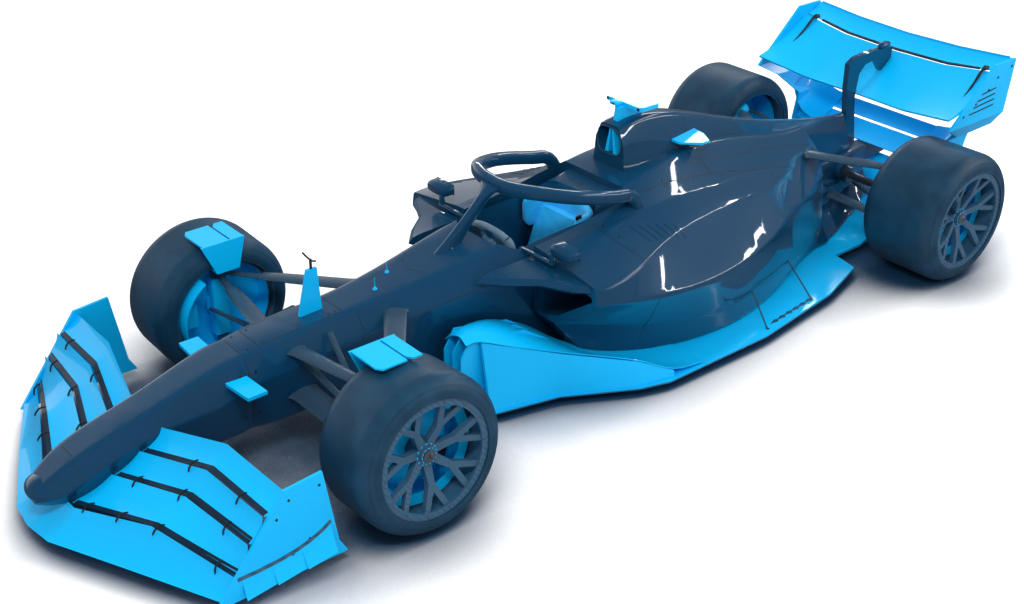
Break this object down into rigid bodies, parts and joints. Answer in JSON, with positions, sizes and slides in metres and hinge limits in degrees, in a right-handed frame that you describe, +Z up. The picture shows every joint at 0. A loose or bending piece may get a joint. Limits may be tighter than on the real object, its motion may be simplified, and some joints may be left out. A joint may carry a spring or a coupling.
{
  "type": "open wheel racing car",
  "caption": "Single-seat racing car with uncovered slick-tyred wheels, front and rear wings, a halo over the open cockpit, sidepods and a ground-effect floor.",
  "frame": {"origin": "on the ground, at the middle of the car's length and width", "axes": "+X to the car's left, +Y towards its tail, +Z up; the nose points along -Y"},
  "size_m": [2.0622, 5.6167, 1.1419],
  "materials": {
    "painted_body": "glossy dark navy paint",
    "painted_blue": "glossy azure paint",
    "carbon": "satin woven composite",
    "tyre": "plain slick rubber",
    "metal": "machined",
    "steel": "ground",
    "board": "plain",
    "grip": "satin grey"
  },
  "bodies": {
    "chassis": {"nose_cone": "painted_body", "monocoque": "painted_body", "sidepod_left": "painted_body", "sidepod_right": "painted_body", "engine_cover": "painted_body", "power_unit": "metal", "gearbox": "carbon", "crash_structure": "carbon", "floor": "painted_blue", "floor_fences": "painted_blue", "plank": "board", "diffuser": "carbon", "front_wing_main": "painted_blue", "front_wing_flap_1": "painted_blue", "front_wing_flap_2": "painted_blue", "front_wing_flap_3": "painted_blue", "front_wing_endplate_left": "painted_blue", "front_wing_endplate_right": "painted_blue", "halo": "painted_body", "seat": "painted_blue", "mirrors": "painted_body", "camera_pods": "painted_blue", "nose_fin": "painted_blue", "front_wishbones": "carbon", "rear_wishbones": "carbon", "rear_uprights": "metal", "rear_brake_drums": "painted_blue", "rear_wing_main": "painted_blue", "rear_wing_endplates": "painted_blue", "beam_wing": "painted_blue", "rear_wing_pylon": "carbon", "exhaust": "steel"},
    "steer_left": {"front_upright_left": "metal", "front_brake_drum_left": "painted_blue"},
    "steer_right": {"front_upright_right": "metal", "front_brake_drum_right": "painted_blue"},
    "wheel_front_left": {"tyre_front_left": "tyre", "rim_front_left": "carbon"},
    "wheel_front_right": {"tyre_front_right": "tyre", "rim_front_right": "carbon"},
    "wheel_rear_left": {"tyre_rear_left": "tyre", "rim_rear_left": "carbon", "driveshaft_left": "steel"},
    "wheel_rear_right": {"tyre_rear_right": "tyre", "rim_rear_right": "carbon", "driveshaft_right": "steel"},
    "flap": {"rear_wing_flap": "painted_blue"},
    "steering_wheel": {"steering_wheel": "grip"}
  },
  "joints": [
    {"name": "steer_left", "type": "hinge", "parent": "chassis", "child": "steer_left", "pos_m": [0.73047, -1.46, 0.35983], "axis": [0, 0, 1], "range_deg": [-18, 18]},
    {"name": "steer_right", "type": "hinge", "parent": "chassis", "child": "steer_right", "pos_m": [-0.73047, -1.46, 0.35983], "axis": [0, 0, 1], "range_deg": [-18, 18]},
    {"name": "steering_wheel_turn", "type": "hinge", "parent": "chassis", "child": "steering_wheel", "pos_m": [0, -0.34, 0.62], "axis": [0, 0.9781, 0.2079], "range_deg": [-162, 162]},
    {"name": "wheel_front_left_spin", "type": "hinge", "parent": "steer_left", "child": "wheel_front_left", "pos_m": [1.015, -1.46, 0.37623], "axis": [0.9983, 0, 0.0576], "continuous": true},
    {"name": "wheel_front_right_spin", "type": "hinge", "parent": "steer_right", "child": "wheel_front_right", "pos_m": [-1.015, -1.46, 0.37623], "axis": [-0.9983, 0, 0.0576], "continuous": true},
    {"name": "wheel_rear_left_spin", "type": "hinge", "parent": "chassis", "child": "wheel_rear_left", "pos_m": [1, 2.14, 0.36], "axis": [1, 0, 0], "continuous": true},
    {"name": "wheel_rear_right_spin", "type": "hinge", "parent": "chassis", "child": "wheel_rear_right", "pos_m": [-1, 2.14, 0.36], "axis": [-1, 0, 0], "continuous": true},
    {"name": "flap_open", "type": "hinge", "parent": "chassis", "child": "flap", "pos_m": [0, 2.776, 1.006], "axis": [-1, 0, 0], "range_deg": [0, 22]}
  ],
  "couplings": [
    {"joint": "steer_right", "follows": "steer_left", "ratio": 1},
    {"joint": "steering_wheel_turn", "follows": "steer_left", "ratio": 9}
  ]
}
